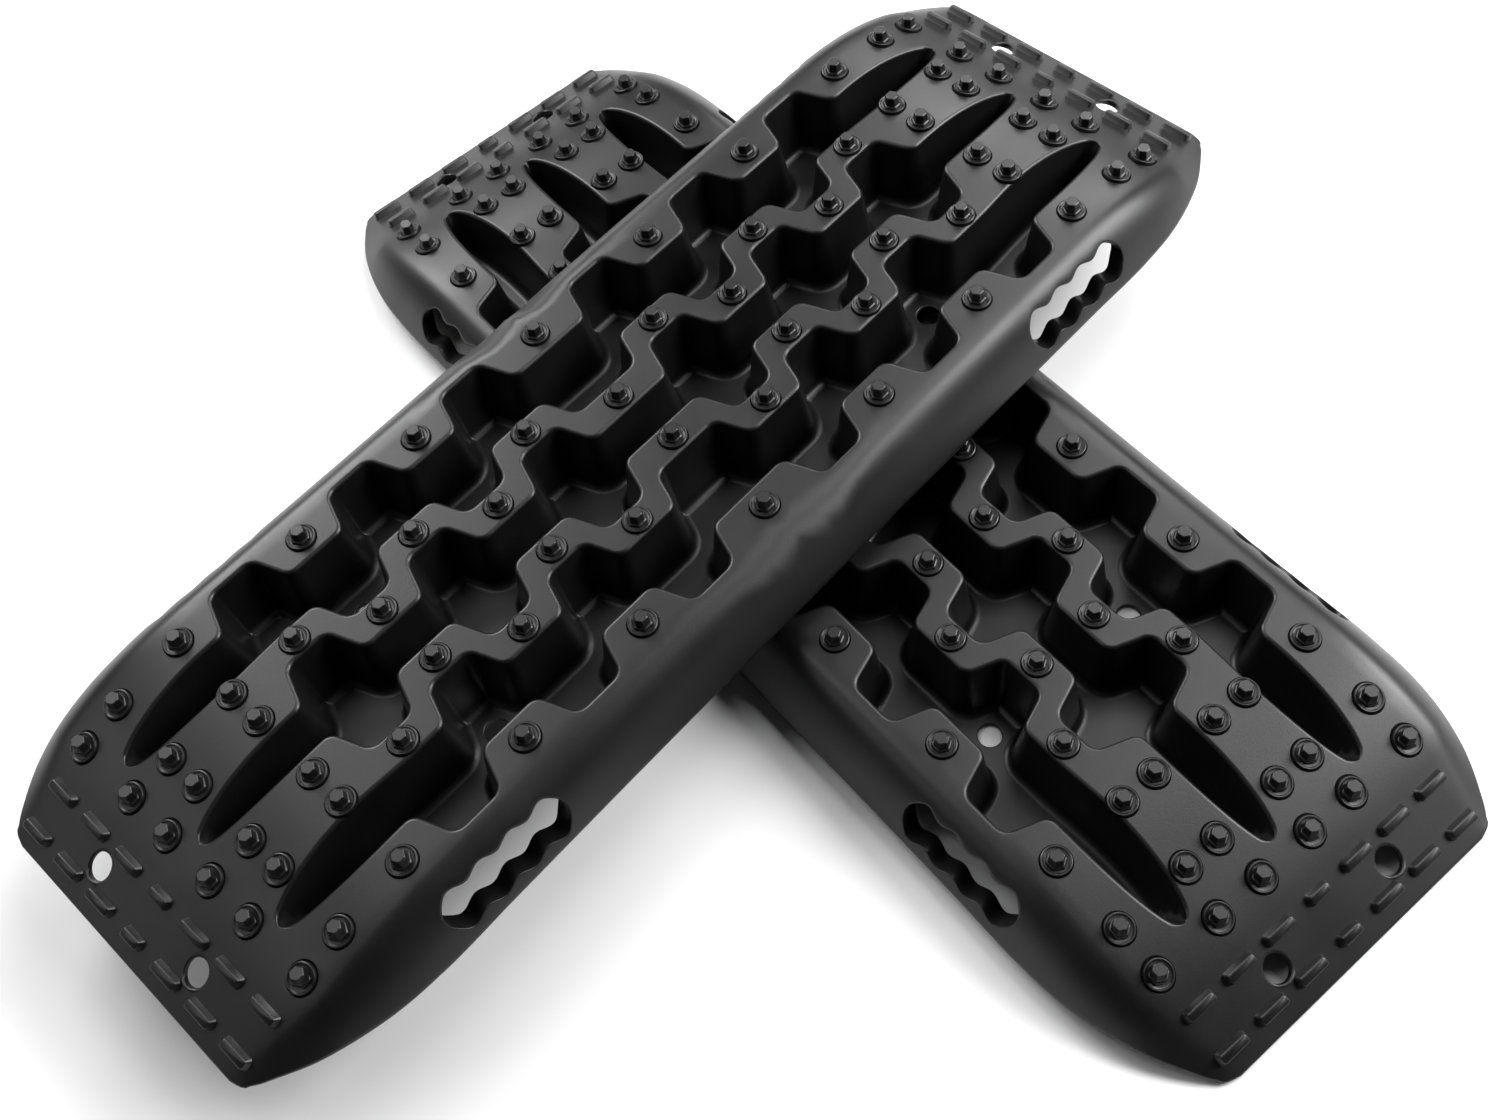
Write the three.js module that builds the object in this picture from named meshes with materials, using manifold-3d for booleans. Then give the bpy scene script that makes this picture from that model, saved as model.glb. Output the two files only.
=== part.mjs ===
// A pair of moulded plastic tyre traction mats, one laid across the other.
// Millimetres, +Z up. The origin is the bottom centre of the pair's bounding box.
//
// Each mat is a thin shell, open underneath. Three deep lanes run along it, between two rails
// and two ribs. The ribs and the rails' inner edges bend in and out, so the outer lanes weave.
// Both ends slope down to a thin edge, where the lanes close in rounded tips.
import * as THREE from 'three';
import { mergeVertices } from 'three/addons/utils/BufferGeometryUtils.js';
import Module from 'manifold-3d';

const wasm = await Module();
wasm.setup();

// Driving dimensions of one mat: x runs along it, y across it, z up from the ground.
const HALF_LENGTH = 462.5;
const DECK_HEIGHT = 55;
const WALL = 3.2;
const GAP = 0.3; // left between pieces that touch

// Stud rows stand half a pitch apart, with a little extra length at the middle row.
const HALF_PITCH = 50;
const MIDDLE_EXTRA = 10.3;
const LAST_BEND = 5; // the ribs bend between rows 0 to 1, 1 to 2, ... and 5 to 6

// Plan of the edges, measured from the mat's centre line.
const RAIL_EDGE = { near: 91.5, far: 120 };
const RIB_OUTER = { near: 37.5, far: 63.5 };
const RIB_INNER = { near: 13.3, far: 41.5 };
const RIB_OUTER_AT_END = 61.5;
const RIB_EDGE_SHIFT = 4.2; // bulges run on past the midpoint between two rows by this much
const RAIL_EDGE_SHIFT = 2.7;
const BEND_RADIUS = 9;
const BEND_ANGLE = THREE.MathUtils.degToRad(70);
const DRAFT = 7; // each lane wall leans outward by this much over its height

// The deck is flat to DECK_BREAK, then an arc, then a straight slope to the end edge.
const DECK_BREAK = 295;
const END_ARC_RADIUS = 270;
const END_SLOPE = THREE.MathUtils.degToRad(26);

// Lanes close at the ends: the floor ramps up and the plan narrows to a rounded tip.
const RAMP_START = 350;
const TIP_START = 322;
const TIP_END = 386;
const TIP_HALF_WIDTH = 3;
const TIP_FLOOR_HALF_WIDTH = 1.5;

// Side skirt: from the shoulder on the deck down to the rim, which hangs clear of the ground.
const SHOULDER = { middle: 124.5, end: 105 };
const SHOULDER_BREAK = 400;
const SKIRT_FULLNESS = 0.47;
const RIM = [
  // x, y, depth below the flat deck
  [0, 158.5, 40],
  [200, 158.5, 40],
  [335, 160, 39.5],
  [368, 157.5, 39.5],
  [400, 150, 40.5],
  [421, 142, 43],
  [442, 130, 46.5],
  [455, 121, 49.8],
  [460.5, 115, 51],
  [HALF_LENGTH, 108, 51.4],
];

// Studs: a hexagonal peg on a round flange. Loose ones also have a square spigot, which drops
// through the deck and keeps the stud from turning.
const PEG = { height: 10, topRadius: 4.4, footRadius: 5.4 };
const FLANGE = { radius: 10, height: 2 };
const SPIGOT = { radius: 4.5, length: 7 };
const RAIL_STUD_Y = 107.4;
const END_RAIL_STUD_Y = 109.2;
const END_ROWS = { bendEnd: 6, second: 362, last: 394 };
const PAIR_STUDS_Y = [26.3, 53.3];
const LAST_ROW_STUDS_Y = [21.3, 58.6];

// Cleats: short ridges across each end slope, in two rows of seven.
const CLEAT = { length: 23, shortLength: 17, width: 10, topWidth: 4.5, height: 4.5, endSlope: 3 };
const CLEAT_ROWS_X = [421, 448.5];
const CLEAT_SPACING = 34;
const CLEATS_EACH_SIDE = 3;

// Holes and handle slots.
const END_HOLE = { x: 435, y: 49.5, radius: 8.5 };
const FLOOR_HOLE = { y: 64.5, radius: 8, row: 4 };
const HOLE_SIDES = 8;
const SLOT = { x: 268.5, halfLength: 48.5, y: 147, depth: 20, tilt: THREE.MathUtils.degToRad(54) };
const SLOT_HALF_HEIGHT = 9.5;
const SLOT_WAVE = 1.8;
const FINGERS = 4;
const SLOT_STEPS_PER_FINGER = 3;
const SLOT_CUT_DEPTH = 40;

// The upper mat lies across the lower one, on the tops of its pegs.
const UPPER_TURN = THREE.MathUtils.degToRad(6.83);
const LOWER_TURN = Math.PI / 2;
const UPPER_OFFSET = new THREE.Vector3(-109, 70.4, DECK_HEIGHT + PEG.height + GAP);

const plastic = { roughness: 0.5, metalness: 0 };
const boardMaterial = new THREE.MeshStandardMaterial({ color: 0x17181a, ...plastic });
const studMaterial = new THREE.MeshStandardMaterial({ color: 0x1b1c1e, ...plastic });

// Solids --------------------------------------------------------------------------------------

function toSolid(geometry) {
  const bare = geometry.clone();
  bare.deleteAttribute('normal');
  bare.deleteAttribute('uv');
  const merged = mergeVertices(bare, 1e-4);
  return new wasm.Manifold(new wasm.Mesh({
    numProp: 3,
    vertProperties: new Float32Array(merged.attributes.position.array),
    triVerts: new Uint32Array(merged.index.array),
  }));
}

function toGeometry(solid) {
  const mesh = solid.getMesh();
  const geometry = new THREE.BufferGeometry();
  geometry.setAttribute('position', new THREE.BufferAttribute(new Float32Array(mesh.vertProperties), 3));
  geometry.setIndex(new THREE.BufferAttribute(new Uint32Array(mesh.triVerts), 1));
  geometry.computeVertexNormals();
  return geometry;
}

function joinAll(solids) {
  return solids.reduce((whole, next) => whole.add(next));
}

// An upright prism or cone frustum, from height z0 to z1.
function upright(bottomRadius, topRadius, z0, z1, sides, x, y) {
  const geometry = new THREE.CylinderGeometry(topRadius, bottomRadius, z1 - z0, sides);
  geometry.rotateX(Math.PI / 2);
  geometry.translate(x, y, (z0 + z1) / 2);
  return toSolid(geometry);
}

// Plan and section of the mat ------------------------------------------------------------------

function rowX(row) {
  return row === 0 ? 0 : Math.sign(row) * (HALF_PITCH * Math.abs(row) + MIDDLE_EXTRA);
}

function bendX(bend) {
  return HALF_PITCH * (bend + 0.5) + MIDDLE_EXTRA;
}

// How far a bend has climbed at a distance d past its midpoint: an arc, a steep line, an arc.
function climb(d, rise) {
  const arcRise = BEND_RADIUS * (1 - Math.cos(BEND_ANGLE));
  const halfLine = (rise / 2 - arcRise) / Math.tan(BEND_ANGLE);
  const reach = halfLine + BEND_RADIUS * Math.sin(BEND_ANGLE);
  const away = Math.abs(d);
  if (away >= reach) return d > 0 ? rise : 0;
  const half = away <= halfLine
    ? away * Math.tan(BEND_ANGLE)
    : rise / 2 - BEND_RADIUS + Math.sqrt(BEND_RADIUS ** 2 - (reach - away) ** 2);
  return rise / 2 + Math.sign(d) * half;
}

// Edge position at x, for an edge that is at `near` on even rows and at `far` on odd ones.
function wovenEdge(x, edge, shift, bends) {
  const rise = edge.far - edge.near;
  let y = edge.near;
  for (let bend = 0; bend < bends; bend += 1) {
    const outward = bend % 2 === 0;
    const direction = outward ? 1 : -1;
    y += direction * climb(Math.abs(x) - bendX(bend) - direction * shift, rise);
  }
  return y;
}

function deckZ(x) {
  const past = Math.abs(x) - DECK_BREAK;
  if (past <= 0) return DECK_HEIGHT;
  const arcLength = END_ARC_RADIUS * Math.sin(END_SLOPE);
  if (past < arcLength) {
    return DECK_HEIGHT - END_ARC_RADIUS + Math.sqrt(END_ARC_RADIUS ** 2 - past ** 2);
  }
  const arcDrop = END_ARC_RADIUS * (1 - Math.cos(END_SLOPE));
  return DECK_HEIGHT - arcDrop - (past - arcLength) * Math.tan(END_SLOPE);
}

function deckTilt(x) {
  return Math.min(END_SLOPE, Math.asin(Math.max(0, Math.abs(x) - DECK_BREAK) / END_ARC_RADIUS));
}

function fromTable(table, x, column) {
  const next = Math.max(1, table.findIndex((row) => row[0] >= Math.abs(x) - 1e-6));
  const [a, b] = [table[next - 1], table[next]];
  return THREE.MathUtils.mapLinear(Math.abs(x), a[0], b[0], a[column], b[column]);
}

// Both edges in plan at x, as [low, high], of the side lane and of the centre lane. They draw
// together towards the tips.
function laneEdges(x) {
  const blockOuter = THREE.MathUtils.smoothstep(Math.abs(x), rowX(LAST_BEND), rowX(LAST_BEND + 1));
  const outer = wovenEdge(x, RIB_OUTER, -RIB_EDGE_SHIFT, LAST_BEND)
    - blockOuter * (RIB_OUTER.far - RIB_OUTER_AT_END);
  const rail = wovenEdge(x, RAIL_EDGE, RAIL_EDGE_SHIFT, LAST_BEND + 1);
  const inner = wovenEdge(x, RIB_INNER, RIB_EDGE_SHIFT, LAST_BEND + 1);
  const past = THREE.MathUtils.clamp((Math.abs(x) - TIP_START) / (TIP_END - TIP_START), 0, 1);
  const open = Math.sqrt(1 - past ** 2);
  const narrow = (low, high) => {
    const middle = (low + high) / 2;
    const half = TIP_HALF_WIDTH + ((high - low) / 2 - TIP_HALF_WIDTH) * open;
    return [middle - half, middle + half];
  };
  return { side: narrow(outer, rail), centre: narrow(-inner, inner) };
}

function laneFloorZ(x) {
  const up = THREE.MathUtils.clamp((Math.abs(x) - RAMP_START) / (TIP_END - RAMP_START), 0, 1);
  return THREE.MathUtils.lerp(WALL, deckZ(x), up);
}

// Half of the section at x, from the centre line's lane out to the rim. `toward` says on which
// side of the point the plastic is, and so which way the underside is offset in plan.
function halfSection(x) {
  const { side, centre } = laneEdges(x);
  const deck = deckZ(x);
  const floor = laneFloorZ(x);
  const lean = (DRAFT * (deck - floor)) / (DECK_HEIGHT - WALL);
  const lengthPast = (Math.abs(x) - SHOULDER_BREAK) / (HALF_LENGTH - SHOULDER_BREAK);
  const shoulderPast = THREE.MathUtils.clamp(lengthPast, 0, 1);
  const shoulder = THREE.MathUtils.lerp(SHOULDER.middle, SHOULDER.end, shoulderPast);
  const rimY = fromTable(RIM, x, 1);
  const rimZ = DECK_HEIGHT - fromTable(RIM, x, 2);
  const fullY = shoulder + (rimY - shoulder) * SKIRT_FULLNESS;
  const footOf = (low, high) => Math.max(0, Math.min(lean, (high - low) / 2 - TIP_FLOOR_HALF_WIDTH));
  const tipFoot = TIP_HALF_WIDTH - TIP_FLOOR_HALF_WIDTH;
  const centreFoot = Math.max(tipFoot, footOf(...centre));
  const sideFoot = Math.max(tipFoot, footOf(...side));
  return [
    { y: centre[1] - centreFoot, z: floor, toward: 1 },
    { y: centre[1], z: deck, toward: 1 },
    { y: side[0], z: deck, toward: -1 },
    { y: side[0] + sideFoot, z: floor, toward: -1 },
    { y: side[1] - sideFoot, z: floor, toward: 1 },
    { y: side[1], z: deck, toward: 1 },
    { y: shoulder, z: deck, toward: 0 },
    { y: (shoulder + 2 * fullY + rimY) / 4, z: (deck * 3 + rimZ) / 4, toward: -0.5 },
    { y: rimY, z: rimZ, toward: -1, isRim: true },
  ];
}

// The columns slide along x at a bend, so that their points follow each edge's own bend. The last
// one is the shoulder's, whose points stand beside the rail edge's.
const COLUMN_SHIFTS = [
  RIB_EDGE_SHIFT, RIB_EDGE_SHIFT,
  -RIB_EDGE_SHIFT, -RIB_EDGE_SHIFT,
  RAIL_EDGE_SHIFT, RAIL_EDGE_SHIFT, RAIL_EDGE_SHIFT,
];
const BEND_POINTS = [-11, -3.5, 3.5, 11];
const LANE_END_XS = [TIP_START, 337, RAMP_START, 362, 373, 381, TIP_END, 413, HALF_LENGTH];
const SKIRT_XS = [200, DECK_BREAK, 335, 368, 389, 413, 432, 447, 456, 461, HALF_LENGTH];

// Places along x of one column's points: four at each bend, then closer ones down the end.
function columnXs(column) {
  const half = [];
  if (column < COLUMN_SHIFTS.length) {
    for (let bend = 0; bend <= LAST_BEND; bend += 1) {
      const shift = COLUMN_SHIFTS[column] * (bend % 2 === 0 ? 1 : -1);
      half.push(...BEND_POINTS.map((d) => bendX(bend) + shift + d));
    }
    half.push(...LANE_END_XS);
  } else {
    half.push(...SKIRT_XS);
  }
  return [...half.map((x) => -x).reverse(), ...half];
}

// Top skin of the +y half: a list of columns, each a list of points along x.
function topHalf() {
  const columns = halfSection(0).length;
  return Array.from({ length: columns }, (_, column) => (
    columnXs(column).map((x) => ({ x, ...halfSection(x)[column] }))
  ));
}

// Underside of one column: a wall's thickness down, and away from the lane in plan.
function underColumn(points) {
  return points.map((point, i) => {
    const before = points[Math.max(0, i - 1)];
    const after = points[Math.min(points.length - 1, i + 1)];
    const along = new THREE.Vector2(after.x - before.x, after.y - before.y).normalize();
    const isEnd = i === 0 || i === points.length - 1;
    const down = point.isRim ? WALL / 2 : WALL / Math.cos(deckTilt(point.x));
    return {
      x: isEnd ? point.x : point.x - along.y * WALL * point.toward,
      y: point.y + along.x * WALL * point.toward,
      z: Math.max(0, point.z - down),
    };
  });
}

function mirrored(columns) {
  const otherHalf = columns.map((points) => points.map(({ x, y, z }) => ({ x, y: -y, z })));
  return [...otherHalf.reverse(), ...columns];
}

// A closed shell from the columns of its top skin and of its underside. Neighbouring columns may
// have different numbers of points: the strip between them takes whichever next point is nearer.
function shellSolid(top, bottom) {
  const positions = [];
  const index = [];
  const numbered = (columns) => columns.map((points) => points.map((point) => {
    positions.push(point.x, point.y, point.z);
    return { x: point.x, id: positions.length / 3 - 1 };
  }));
  const strip = (left, right) => {
    let [i, j] = [0, 0];
    while (i < left.length - 1 || j < right.length - 1) {
      const leftNext = i + 1 < left.length ? left[i + 1].x + left[i].x : Infinity;
      const rightNext = j + 1 < right.length ? right[j + 1].x + right[j].x : Infinity;
      if (leftNext <= rightNext) {
        index.push(left[i].id, left[i + 1].id, right[j].id);
        i += 1;
      } else {
        index.push(left[i].id, right[j + 1].id, right[j].id);
        j += 1;
      }
    }
  };
  const upper = numbered(top);
  const lower = numbered(bottom);
  const last = upper.length - 1;
  for (let c = 0; c < last; c += 1) {
    strip(upper[c], upper[c + 1]);
    strip(lower[c + 1], lower[c]);
  }
  strip(lower[0], upper[0]);
  strip(upper[last], lower[last]);
  const endLine = (columns, end) => columns.map((points, x) => ({ x, id: points.at(end).id }));
  strip(endLine(upper, 0), endLine(lower, 0));
  strip(endLine(lower, -1), endLine(upper, -1));
  const geometry = new THREE.BufferGeometry();
  geometry.setAttribute('position', new THREE.Float32BufferAttribute(positions, 3));
  geometry.setIndex(index);
  return toSolid(geometry);
}

// Details ---------------------------------------------------------------------------------------

// Places of the loose studs on the two zigzag ribs.
function ribStudPlaces() {
  const places = [];
  for (let row = -LAST_BEND; row <= LAST_BEND; row += 1) {
    const edge = row % 2 === 0 ? 'near' : 'far';
    const y = (RIB_INNER[edge] + RIB_OUTER[edge]) / 2;
    places.push([rowX(row), y], [rowX(row), -y]);
  }
  return places;
}

// Places of the studs that are moulded with the mat: the rails' and the end blocks'.
function mouldedStudPlaces() {
  const places = [];
  for (let row = -4; row <= 4; row += 2) places.push([rowX(row), RAIL_STUD_Y]);
  for (const side of [-1, 1]) {
    const rows = [
      [rowX(END_ROWS.bendEnd), PAIR_STUDS_Y],
      [END_ROWS.second, PAIR_STUDS_Y],
      [END_ROWS.last, LAST_ROW_STUDS_Y],
    ];
    for (const [x, inner] of rows) {
      for (const y of [...inner, END_RAIL_STUD_Y]) places.push([side * x, y]);
    }
  }
  return places.flatMap(([x, y]) => [[x, y], [x, -y]]);
}

function mouldedStud([x, y]) {
  const deck = deckZ(x);
  return upright(PEG.footRadius, PEG.topRadius, deck - WALL / 2, deck + PEG.height, 6, x, y);
}

function looseStud() {
  const flange = upright(FLANGE.radius, FLANGE.radius, GAP, FLANGE.height + GAP, 8, 0, 0);
  const peg = upright(PEG.footRadius, PEG.topRadius, FLANGE.height, PEG.height, 6, 0, 0);
  const spigot = upright(SPIGOT.radius, SPIGOT.radius, -SPIGOT.length, 1, 4, 0, 0);
  return toGeometry(joinAll([flange, peg, spigot]));
}

function cleat(x, y, length) {
  const slopeDown = Math.sign(x) * END_SLOPE;
  const foot = WALL / 2;
  const geometry = new THREE.BoxGeometry(1, 1, CLEAT.height + foot);
  geometry.translate(0, 0, (CLEAT.height - foot) / 2);
  const points = geometry.attributes.position;
  for (let i = 0; i < points.count; i += 1) {
    const atTop = points.getZ(i) > 0;
    points.setX(i, points.getX(i) * (atTop ? CLEAT.topWidth : CLEAT.width));
    points.setY(i, points.getY(i) * (atTop ? length - 2 * CLEAT.endSlope : length));
  }
  geometry.rotateY(slopeDown);
  geometry.translate(x, y, deckZ(x));
  return toSolid(geometry);
}

function cleats() {
  const solids = [];
  for (const rowPosition of CLEAT_ROWS_X) {
    for (let i = -CLEATS_EACH_SIDE; i <= CLEATS_EACH_SIDE; i += 1) {
      const length = i === 0 ? CLEAT.shortLength : CLEAT.length;
      solids.push(cleat(rowPosition, i * CLEAT_SPACING, length));
      solids.push(cleat(-rowPosition, i * CLEAT_SPACING, length));
    }
  }
  return solids;
}

// Outline of a handle slot: rounded ends, with a shallow scallop for each finger on both edges.
function slotShape() {
  const steps = FINGERS * SLOT_STEPS_PER_FINGER;
  const wave = (t) => SLOT_HALF_HEIGHT - SLOT_WAVE * Math.cos(2 * Math.PI * FINGERS * t);
  const endTaper = (t) => Math.sqrt(Math.min(1, 12 * Math.min(t, 1 - t)));
  const shape = new THREE.Shape();
  const edge = (t, sign) => [
    (2 * t - 1) * SLOT.halfLength,
    sign * wave(t) * endTaper(t),
  ];
  shape.moveTo(-SLOT.halfLength, 0);
  for (let i = 1; i < steps; i += 1) shape.lineTo(...edge(i / steps, 1));
  shape.lineTo(SLOT.halfLength, 0);
  for (let i = steps - 1; i > 0; i -= 1) shape.lineTo(...edge(i / steps, -1));
  return shape;
}

function slotCutter(sideX, sideY) {
  const geometry = new THREE.ExtrudeGeometry(slotShape(), { depth: SLOT_CUT_DEPTH, bevelEnabled: false });
  geometry.translate(0, 0, -SLOT_CUT_DEPTH / 2);
  geometry.rotateX(-sideY * SLOT.tilt);
  geometry.translate(sideX * SLOT.x, sideY * SLOT.y, DECK_HEIGHT - SLOT.depth);
  return toSolid(geometry);
}

function holeCutters() {
  const solids = [];
  const through = [-1, DECK_HEIGHT];
  for (const sx of [-1, 1]) {
    for (const sy of [-1, 1]) {
      const floorX = sx * rowX(FLOOR_HOLE.row);
      solids.push(slotCutter(sx, sy));
      solids.push(upright(END_HOLE.radius, END_HOLE.radius, ...through, HOLE_SIDES,
        sx * END_HOLE.x, sy * END_HOLE.y));
      solids.push(upright(FLOOR_HOLE.radius, FLOOR_HOLE.radius, ...through, HOLE_SIDES,
        floorX, sy * FLOOR_HOLE.y));
    }
  }
  const socketRadius = SPIGOT.radius + GAP * Math.SQRT2;
  for (const [x, y] of ribStudPlaces()) {
    solids.push(upright(socketRadius, socketRadius, DECK_HEIGHT / 2, DECK_HEIGHT + 1, 4, x, y));
  }
  return solids;
}

function matGeometry() {
  const top = topHalf();
  const shell = shellSolid(mirrored(top), mirrored(top.map(underColumn)));
  const added = joinAll([shell, ...mouldedStudPlaces().map(mouldedStud), ...cleats()]);
  return toGeometry(added.subtract(joinAll(holeCutters())));
}

// Assembly ----------------------------------------------------------------------------------------

const sharedMatGeometry = matGeometry();
const sharedStudGeometry = looseStud();

function mat(name) {
  const group = new THREE.Group();
  const board = new THREE.Mesh(sharedMatGeometry, boardMaterial);
  board.name = `${name}_mat_board`;
  group.add(board);
  ribStudPlaces().forEach(([x, y], i) => {
    const stud = new THREE.Mesh(sharedStudGeometry, studMaterial);
    const rib = y > 0 ? 'left' : 'right';
    stud.name = `${name}_${rib}_rib_stud_${String(Math.floor(i / 2) + 1).padStart(2, '0')}`;
    stud.position.set(x, y, DECK_HEIGHT);
    group.add(stud);
  });
  return group;
}

const lowerMat = mat('lower');
lowerMat.rotation.z = LOWER_TURN;

const upperMat = mat('upper');
upperMat.rotation.z = UPPER_TURN;
upperMat.position.copy(UPPER_OFFSET);

const pair = new THREE.Group();
pair.add(lowerMat, upperMat);
pair.updateMatrixWorld(true);

const bounds = new THREE.Box3().setFromObject(pair, true);
const middle = bounds.getCenter(new THREE.Vector3());
pair.position.set(-middle.x, -middle.y, -bounds.min.z);

const model = new THREE.Group();
model.add(pair);

export default model;
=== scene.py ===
"""Looks for a pair of moulded traction mats, one lying across the other, built on the CAD frame.

A mat's own frame is in millimetres: x along it, y across it, z up from its underside. Each mat is
placed from the CAD boxes of its board and of its rib studs.
"""
import math

import bpy
import numpy as np
from mathutils import Matrix, Vector
from mathutils.geometry import delaunay_2d_cdt
from mathutils.kdtree import KDTree


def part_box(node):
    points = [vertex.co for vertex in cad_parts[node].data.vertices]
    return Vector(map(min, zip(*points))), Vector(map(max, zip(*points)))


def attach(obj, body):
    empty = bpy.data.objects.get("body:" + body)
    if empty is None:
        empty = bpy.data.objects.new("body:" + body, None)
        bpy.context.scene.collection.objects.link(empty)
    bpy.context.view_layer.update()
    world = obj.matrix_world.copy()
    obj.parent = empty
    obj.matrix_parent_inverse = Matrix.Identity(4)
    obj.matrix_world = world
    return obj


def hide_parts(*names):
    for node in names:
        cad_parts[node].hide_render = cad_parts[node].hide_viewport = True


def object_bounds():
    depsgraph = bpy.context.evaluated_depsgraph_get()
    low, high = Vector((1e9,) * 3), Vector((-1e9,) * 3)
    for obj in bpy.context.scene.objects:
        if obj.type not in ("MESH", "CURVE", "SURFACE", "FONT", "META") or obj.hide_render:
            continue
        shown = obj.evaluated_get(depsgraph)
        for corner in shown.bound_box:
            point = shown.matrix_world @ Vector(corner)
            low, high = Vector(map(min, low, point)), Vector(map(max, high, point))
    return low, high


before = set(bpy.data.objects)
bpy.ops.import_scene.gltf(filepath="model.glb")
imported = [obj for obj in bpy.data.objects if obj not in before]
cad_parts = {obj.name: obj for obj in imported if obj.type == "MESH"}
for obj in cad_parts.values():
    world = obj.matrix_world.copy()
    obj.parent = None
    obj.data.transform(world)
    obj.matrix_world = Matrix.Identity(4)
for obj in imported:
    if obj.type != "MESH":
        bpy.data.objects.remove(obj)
cad_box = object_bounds()

MM = 0.001

# One mat, with the same driving dimensions as the CAD model.
HALF_LENGTH = 462.5
DECK_HEIGHT = 55.0
FLOOR_THICKNESS = 3.2
SHELL_THICKNESS = 2.8
HALF_PITCH = 50.0
MIDDLE_EXTRA = 10.3
LAST_BEND = 5
RAIL_NEAR, RAIL_FAR = 91.5, 120.0
OUTER_NEAR, OUTER_FAR, OUTER_AT_END = 37.5, 63.5, 61.5
INNER_NEAR, INNER_FAR = 13.3, 41.5
RIB_SHIFT, RAIL_SHIFT = 4.2, 2.7
BEND_RADIUS = 9.0
BEND_ANGLE = math.radians(70)
WALL_SLOPE = (DECK_HEIGHT - FLOOR_THICKNESS) / 7.0
BROW_RADIUS = 3.0
FOOT_RADIUS = 6.0
DECK_BREAK = 295.0
END_ARC_RADIUS = 270.0
END_SLOPE = math.radians(26)
RAMP_START = 366.0
TIP_START = 308.0
TIP_END = 384.0
SHOULDER_MIDDLE, SHOULDER_END, SHOULDER_BREAK = 124.5, 105.0, 400.0
SHOULDER_SOFTNESS = 6.0
SKIRT_FULLNESS = 0.47
SKIRT_OVERRUN = 1.04  # where the skirt's curve stops, as a share of its run to the rim
RIM = np.array([  # x, y, depth below the flat deck
    [0, 158.5, 40], [100, 158.5, 40], [200, 158.7, 40], [280, 159.4, 39.7], [335, 160, 39.5],
    [368, 157.5, 39.5], [400, 150, 40.5], [421, 142, 43], [442, 130, 46.5], [455, 121, 49.8],
    [460.5, 115, 51], [HALF_LENGTH, 108, 51.4],
])
LIP_INSET = 0.3

# Studs, holes, cleats and handle slots.
RAIL_STUD_Y, END_RAIL_STUD_Y = 107.4, 109.2
SECOND_ROW_X, LAST_ROW_X = 362.0, 394.0
PAIR_STUDS_Y = (26.3, 53.3)
LAST_ROW_STUDS_Y = (21.3, 58.6)
SEAT_RADIUS, SEAT_DEPTH = 10.2, 1.4
END_HOLE = (435.0, 49.5, 8.5)
FLOOR_HOLE = (210.3, 64.5, 8.0)
PAD_RADIUS, PAD_DROP = 10.5, 3.3
CLEAT_ROWS_X = (421.0, 448.5)
CLEAT_SPACING = 34.0
SLOT_X, SLOT_HALF_LENGTH = 268.5, 48.5
SLOT_TOP_Y, SLOT_BOTTOM_Y = 140.3, 155.0
SLOT_TOP_WAVE, SLOT_BOTTOM_WAVE = 1.25, 1.0
SLOT_END_SHARE = 9  # each rounded end is one part in nine of the slot's length
FINGERS = 4
EDGE_ROUNDING, EDGE_ROUNDING_SHARE = 1.2, 0.8

TINY = 1e-12


# The mat's form ---------------------------------------------------------------------------------

def row_x(row):
    """Place along the mat of a row of studs. Row 0 is the middle one."""
    return math.copysign(HALF_PITCH * abs(row) + MIDDLE_EXTRA, row) if row else 0.0


def climb(d, rise):
    """How far a bend has climbed at distance d past its midpoint: an arc, a line, an arc."""
    slope = math.tan(BEND_ANGLE)
    half_line = (rise / 2 - BEND_RADIUS * (1 - math.cos(BEND_ANGLE))) / slope
    reach = half_line + BEND_RADIUS * math.sin(BEND_ANGLE)
    away = np.minimum(np.abs(d), reach)
    arc = rise / 2 - BEND_RADIUS + np.sqrt(np.maximum(BEND_RADIUS**2 - (reach - away) ** 2, 0))
    return rise / 2 + np.sign(d) * np.where(away <= half_line, away * slope, arc)


def woven_edge(x, near, far, shift, bends):
    """Plan y of a lane's edge that steps out and back again, one bend after another, for x >= 0."""
    y = np.full_like(x, near)
    for bend in range(bends):
        direction = 1 if bend % 2 == 0 else -1
        middle = HALF_PITCH * (bend + 0.5) + MIDDLE_EXTRA + direction * shift
        y = y + direction * climb(x - middle, far - near)
    return y


def smoothstep(x, low, high):
    """A smooth rise from 0 at low to 1 at high."""
    t = np.clip((x - low) / (high - low), 0, 1)
    return t * t * (3 - 2 * t)


def lane_edges(x):
    """Plan y of the centre lane's edge and of the side lane's two edges, for x >= 0."""
    inner = woven_edge(x, INNER_NEAR, INNER_FAR, RIB_SHIFT, LAST_BEND + 1)
    outer = woven_edge(x, OUTER_NEAR, OUTER_FAR, -RIB_SHIFT, LAST_BEND)
    outer = outer - smoothstep(x, row_x(LAST_BEND), row_x(LAST_BEND + 1)) * (OUTER_FAR - OUTER_AT_END)
    rail = woven_edge(x, RAIL_NEAR, RAIL_FAR, RAIL_SHIFT, LAST_BEND + 1)
    past = np.clip((x - TIP_START) / (TIP_END - TIP_START), 0, 1)
    still_open = np.sqrt(1 - past**2)
    middle = (outer + rail) / 2
    half = (rail - outer) / 2 * still_open
    return inner * still_open, middle - half, middle + half


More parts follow.
